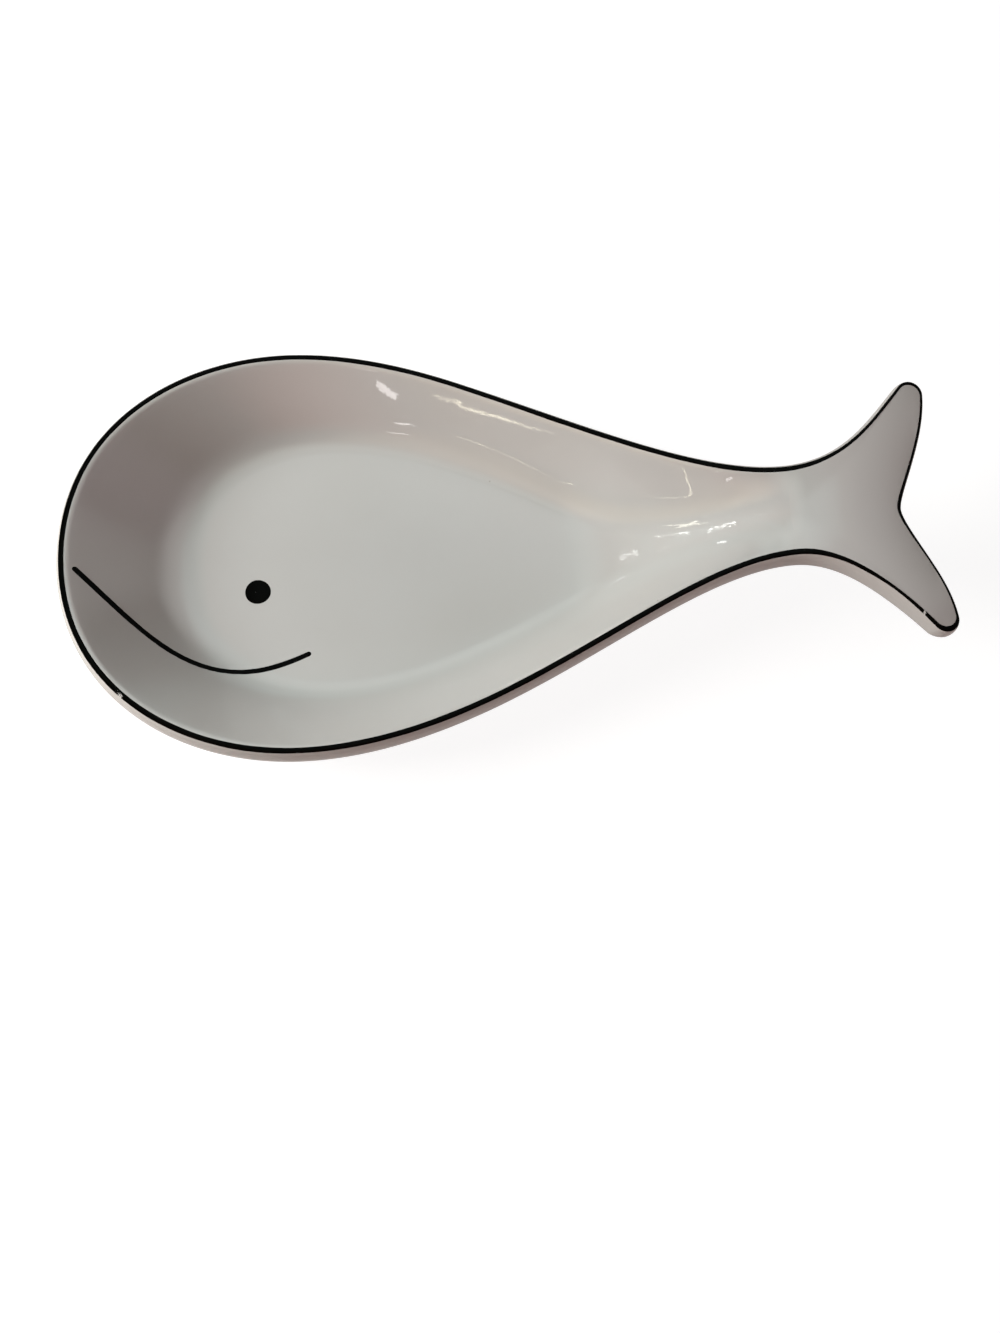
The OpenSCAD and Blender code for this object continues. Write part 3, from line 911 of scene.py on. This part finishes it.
def white_glaze():
    """Glossy white glaze with a few specks, darker and warmer where it is thin, greener where it pools."""
    made, tree, shader = material("white_glaze")
    tone = effect_node(tree, cloud, {
        "First Colour": GLAZE_WHITE, "Second Colour": GLAZE_WARM, "Cloud Scale": 22.0})
    surface = effect_node(tree, waver, {
        "Swell Scale": 38.0, "Ripple Scale": 520.0, "Ripple Share": 0.06,
        "Gloss Low": 0.012, "Gloss High": 0.028})
    dots = effect_node(tree, specks, {"Speck Scale": 170.0, "Speck Size": 0.035, "Rarity": 0.93})
    thin = put(tree, "ShaderNodeAttribute", attribute_name="thin_glaze").outputs["Fac"]
    pooled = put(tree, "ShaderNodeAttribute", attribute_name="pooled_glaze").outputs["Fac"]
    colour = colour_mix(tree, scaled(tree, pooled, POOL_TINT), tone.outputs["Colour"], GLAZE_POOL)
    colour = colour_mix(tree, scaled(tree, thin, THIN_TINT), colour, GLAZE_THIN)
    colour = colour_mix(tree, scaled(tree, dots.outputs["Mask"], GLAZE_SPECK_TINT), colour, SPECK_BROWN)
    surfaced(tree, shader, colour, surface, distance=0.0005, strength=0.15)
    shader.inputs["IOR"].default_value = 1.5
    return made


ENAMEL_BLACK = (0.0006, 0.0006, 0.0005, 1)
ENAMEL_WASH = (0.0016, 0.0016, 0.0014, 1)


def black_enamel():
    """Dull black enamel that shows the white glaze where it is worn."""
    made, tree, shader = material("black_enamel")
    tone = effect_node(tree, cloud, {
        "First Colour": ENAMEL_BLACK, "Second Colour": ENAMEL_WASH, "Cloud Scale": 140.0})
    surface = effect_node(tree, waver, {
        "Swell Scale": 160.0, "Ripple Scale": 1500.0, "Ripple Share": 0.3,
        "Gloss Low": 0.42, "Gloss High": 0.55})
    flecks = effect_node(tree, wear, {"Fleck Scale": 3200.0, "Raggedness": 1.6})
    worn = put(tree, "ShaderNodeAttribute", attribute_name="worn_paint").outputs["Fac"]
    tree.links.new(worn, flecks.inputs["Wear"])
    colour = colour_mix(tree, flecks.outputs["Mask"], tone.outputs["Colour"], GLAZE_WHITE)
    surfaced(tree, shader, colour, surface, distance=0.0002, strength=0.25)
    shader.inputs["Specular IOR Level"].default_value = 0.03
    return made


CLAY_PALE = (0.62, 0.55, 0.46, 1)
CLAY_WARM = (0.55, 0.46, 0.37, 1)


def bare_clay():
    """Rough unglazed clay, pale and speckled."""
    made, tree, shader = material("bare_clay")
    tone = effect_node(tree, cloud, {
        "First Colour": CLAY_PALE, "Second Colour": CLAY_WARM, "Cloud Scale": 90.0})
    surface = effect_node(tree, waver, {
        "Swell Scale": 500.0, "Ripple Scale": 2600.0, "Ripple Share": 0.55,
        "Gloss Low": 0.75, "Gloss High": 0.95})
    dots = effect_node(tree, specks, {"Speck Scale": 700.0, "Speck Size": 0.22, "Rarity": 0.75})
    speckled = scaled(tree, dots.outputs["Mask"], CLAY_SPECK_TINT)
    colour = colour_mix(tree, speckled, tone.outputs["Colour"], SPECK_BROWN)
    surfaced(tree, shader, colour, surface, distance=0.0003, strength=0.6)
    return made


def dressed(piece, finish, slot, *nodes):
    """A finished piece in place of its solids."""
    piece.data.materials.append(finish)
    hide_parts(*nodes)
    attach(piece, "root")


glaze_finish = white_glaze()
enamel_finish = black_enamel()
dressed(make_clay(), bare_clay(), "bare_clay", "clay_body")
dressed(make_glaze(), glaze_finish, "white_glaze", "dish_glaze")
dressed(make_well(), glaze_finish, "white_glaze", "base_glaze")
dressed(make_rim_line(), enamel_finish, "black_enamel", "rim_line")
dressed(make_eye(), enamel_finish, "black_enamel", "eye_dot")
dressed(make_smile(), enamel_finish, "black_enamel", "smile_line")


# Floor, light and camera; the floor's two sizes are in metres
FLOOR_SIZE = 3.0
FLOOR_GAP = 0.00002
# The floor's colour to the dish and to the camera, its glow, and the share of it that the glaze mirrors
FLOOR_BOUNCE = (0.6, 0.55, 0.52, 1)
FLOOR_WHITE = (0.3, 0.3, 0.3, 1)
FLOOR_GLOW = 0.9
MIRRORED_FLOOR = 0.35


def make_floor():
    """A pale floor, white to the camera and a little warm to the dish."""
    mesh = bpy.data.meshes.new("pale_floor")
    e = FLOOR_SIZE / 2
    z = -FLOOR_GAP
    mesh.from_pydata([(-e, -e, z), (e, -e, z), (e, e, z), (-e, e, z)], [], [(0, 1, 2, 3)])
    floor = bpy.data.objects.new("pale_floor", mesh)
    bpy.context.scene.collection.objects.link(floor)
    made = bpy.data.materials.new("pale_floor")
    made.use_nodes = True
    tree = made.node_tree
    tree.nodes.clear()
    path = put(tree, "ShaderNodeLightPath")
    in_glaze = scaled(tree, path.outputs["Is Glossy Ray"], MIRRORED_FLOOR)
    seen = put(tree, "ShaderNodeMath", {
        0: path.outputs["Is Camera Ray"], 1: in_glaze}, operation="MAXIMUM").outputs[0]
    colour = colour_mix(tree, path.outputs["Is Camera Ray"], FLOOR_BOUNCE, FLOOR_WHITE)
    matt = put(tree, "ShaderNodeBsdfDiffuse", {"Color": colour})
    glow = put(tree, "ShaderNodeEmission", {
        "Color": (1, 1, 1, 1), "Strength": scaled(tree, seen, FLOOR_GLOW)})
    both = put(tree, "ShaderNodeAddShader", {0: matt.outputs[0], 1: glow.outputs[0]})
    put(tree, "ShaderNodeOutputMaterial", {"Surface": both.outputs[0]})
    mesh.materials.append(made)


WORLD_LIGHT = (0.085, 0.075, 0.07, 1)


def make_world():
    """A dim room round the dish, white to the camera."""
    world = bpy.data.worlds.new("soft_room")
    bpy.context.scene.world = world
    world.use_nodes = True
    tree = world.node_tree
    tree.nodes.clear()
    path = put(tree, "ShaderNodeLightPath")
    room = put(tree, "ShaderNodeBackground", {"Color": WORLD_LIGHT, "Strength": 1.0})
    white = put(tree, "ShaderNodeBackground", {"Color": (1, 1, 1, 1), "Strength": FLOOR_GLOW})
    both = put(tree, "ShaderNodeMixShader", {
        0: path.outputs["Is Camera Ray"], 1: room.outputs[0], 2: white.outputs[0]})
    put(tree, "ShaderNodeOutputWorld", {"Surface": both.outputs[0]})


AIM_POINT = Vector((-20, 0, 15))
# Leans a little, so that a lamp straight above the dish has a direction too
UPRIGHT = (0, 0.01, 1)
# A share times its rest is one sixth on average, so this keeps the power
FADE_GAIN = 6.0


def make_lamp(name, at, size, power, colour, along=UPRIGHT):
    """A soft rectangular lamp that faces the dish, its second side along a direction."""
    data = bpy.data.lights.new(name, "AREA")
    data.shape = "RECTANGLE"
    data.size, data.size_y = (side * MM for side in size)
    data.energy = power
    data.color = colour
    lamp = bpy.data.objects.new(name, data)
    bpy.context.scene.collection.objects.link(lamp)
    back = (Vector(at) - AIM_POINT).normalized()
    right = Vector(along).cross(back).normalized()
    axes = Matrix((right, back.cross(right), back)).transposed().to_4x4()
    lamp.matrix_world = Matrix.Translation(Vector(at) * MM) @ axes
    return lamp


def fade_to_edges(lamp):
    """The lamp's light fades from its middle to its edges, with the same power."""
    lamp.data.use_nodes = True
    tree = lamp.data.node_tree
    on_lamp = put(tree, "ShaderNodeNewGeometry").outputs["Parametric"]
    place = put(tree, "ShaderNodeSeparateXYZ", {0: on_lamp})
    sides = []
    for axis in ("X", "Y"):
        rest = put(tree, "ShaderNodeMath", {0: 1.0, 1: place.outputs[axis]}, operation="SUBTRACT")
        both = scaled(tree, place.outputs[axis], rest.outputs[0])
        sides.append(scaled(tree, both, FADE_GAIN))
    tree.links.new(scaled(tree, sides[0], sides[1]), tree.nodes["Emission"].inputs["Strength"])


# Lamps stand this far from the dish; sizes in millimetres
LAMP_AWAY = 700
SOFTBOX = (350, 350)
LOW_STRIP = (500, 24)
CARD = (520, 520)


def round_dish(azimuth, height):
    """A place round the dish, in degrees: from the near side by way of the tail, and up."""
    a, e = math.radians(azimuth), math.radians(height)
    out = Vector((math.sin(a) * math.cos(e), -math.cos(a) * math.cos(e), math.sin(e)))
    return AIM_POINT + out * LAMP_AWAY


def spread_light(name, azimuth, height, power, colour, size=SOFTBOX):
    """A soft lamp that lights the dish but isn't mirrored in its glaze."""
    lamp = make_lamp(name, round_dish(azimuth, height), size, power, colour)
    lamp.visible_glossy = False


def mirror_card(name, azimuth, height, power, colour):
    """A dim soft card that is seen only as a reflection in the glaze."""
    lamp = make_lamp(name, round_dish(azimuth, height), CARD, power, colour)
    lamp.visible_diffuse = False
    fade_to_edges(lamp)


def glint_strip(name, start, end, width, glow, colour):
    """A small bright strip between two places, seen only as a glint in the glaze."""
    start, end = Vector(start), Vector(end)
    length = (end - start).length
    power = glow * math.pi * width * length * MM * MM
    lamp = make_lamp(name, (start + end) / 2, (width, length), power, colour, end - start)
    lamp.visible_diffuse = False


# Bent glints: the places that their strips join, in millimetres, and each strip's glow
STREAK = [(-328, -596, 213), (-345, -594, 195), (-371, -585, 169), (-395, -578, 138), (-410, -574, 106),
          (-418, -573, 70), (-418, -575, 39)]
STREAK_W = 2.2
STREAK_GLOW = [9, 16, 20, 16, 8, 4]
RAMP_GLINT = [(-547, 71, 470), (-560, -34, 459), (-553, -109, 455)]
RAMP_GLINT_W = 4
RAMP_GLOW = [16, 16]


def glint_path(name, places, width, glows, colour):
    """A bent row of glint strips from place to place."""
    for k, glow in enumerate(glows):
        glint_strip(f"{name}_{k + 1}", places[k], places[k + 1], width, glow, colour)


# The camera's lens in pixels of a picture of this height, its place in millimetres and its angles
PHOTO_TALL = 1333
FOCAL_PX = 1150
SENSOR_W = 36
CAMERA_AT = (-28.37, -110.84, 320.02)
CAMERA_DOWN = math.radians(75.105)
CAMERA_ROLL = math.radians(16.372)
CAMERA_TURN = math.radians(19.443)


def make_camera():
    """The camera, turned to the tail, tilted down and rolled."""
    data = bpy.data.cameras.new("front_camera")
    data.sensor_width = SENSOR_W
    data.lens = FOCAL_PX * data.sensor_width / PHOTO_TALL
    data.clip_start = 0.01
    turned = Matrix.Rotation(-CAMERA_TURN, 3, "Z")
    forward = turned @ Vector((0, math.cos(CAMERA_DOWN), -math.sin(CAMERA_DOWN)))
    level_right = turned @ Vector((1, 0, 0))
    level_up = turned @ Vector((0, math.sin(CAMERA_DOWN), math.cos(CAMERA_DOWN)))
    c, s = math.cos(CAMERA_ROLL), math.sin(CAMERA_ROLL)
    right = level_right * c + level_up * s
    up = level_up * c - level_right * s
    camera = bpy.data.objects.new("front_camera", data)
    bpy.context.scene.collection.objects.link(camera)
    axes = Matrix((right, up, -forward)).transposed().to_4x4()
    camera.matrix_world = Matrix.Translation(Vector(CAMERA_AT) * MM) @ axes
    bpy.context.scene.camera = camera


make_floor()
make_world()
# Lamps and cards: azimuth and height in degrees, power in watts, colour
spread_light("nose_softbox", 265, 30, 5.3, (1.0, 0.98, 0.94))
spread_light("far_fill", 225, 30, 0.5, (0.74, 0.98, 1.0))
spread_light("near_warm_fill", 25, 30, 0.22, (1.0, 0.1, 0.06))
spread_light("near_floor_strip", 60, -0.2, 0.75, (1.0, 0.94, 0.92), LOW_STRIP)
spread_light("tail_floor_strip", 105, -0.2, 0.3, (1.0, 0.97, 0.95), LOW_STRIP)
mirror_card("far_card_high", 180, 75, 0.23, (0.42, 0.92, 1.0))
mirror_card("far_card_middle", 180, 55, 0.86, (0.83, 1.0, 0.98))
mirror_card("far_card_low", 180, 30, 0.45, (0.68, 1.0, 0.97))
mirror_card("nose_card_far", 225, 30, 0.37, (0.32, 0.97, 1.0))
mirror_card("nose_card_high", 270, 75, 0.16, (0.92, 0.92, 1.0))
mirror_card("tail_card_far", 135, 55, 0.7, (1.0, 1.0, 0.99))
mirror_card("tail_card", 90, 55, 0.25, (1.0, 0.83, 0.95))
mirror_card("near_warm_card", 315, 55, 0.68, (1.0, 0.76, 0.52))
mirror_card("near_warm_card_low", 315, 30, 0.41, (1.0, 0.55, 0.1))
mirror_card("near_red_card", 355, 32, 0.28, (1.0, 0.2, 0.1))
mirror_card("ceiling_card", 0, 90, 0.56, (0.89, 1.0, 0.89))
# Glints: the strip's two ends and its width in millimetres, its glow and colour
glint_strip("glint_far_wall", (-255, -603, 283), (-280, -607, 248), 11, 9, (1.0, 0.95, 0.94))
glint_strip("glint_wall_foot", (-215, -507, 455), (-250, -530, 408), 12, 6, (1.0, 0.96, 0.97))
glint_path("glint_streak", STREAK, STREAK_W, STREAK_GLOW, (1.0, 0.92, 0.7))
glint_path("glint_ramp", RAMP_GLINT, RAMP_GLINT_W, RAMP_GLOW, (1.0, 0.96, 0.8))
glint_strip("glint_handle", (-515, 254, 440), (-473, 255, 484), 2.4, 15, (1.0, 1.0, 0.97))
glint_strip("glint_handle_wall", (-318, 603, 200), (-205, 674, 60), 26, 9, (1.0, 1.0, 1.0))
glint_strip("glint_ramp_foot", (-336, 235, 593), (-422, 240, 535), 2, 9, (1.0, 1.0, 0.97))
make_camera()
bpy.context.scene.view_settings.view_transform = "Standard"
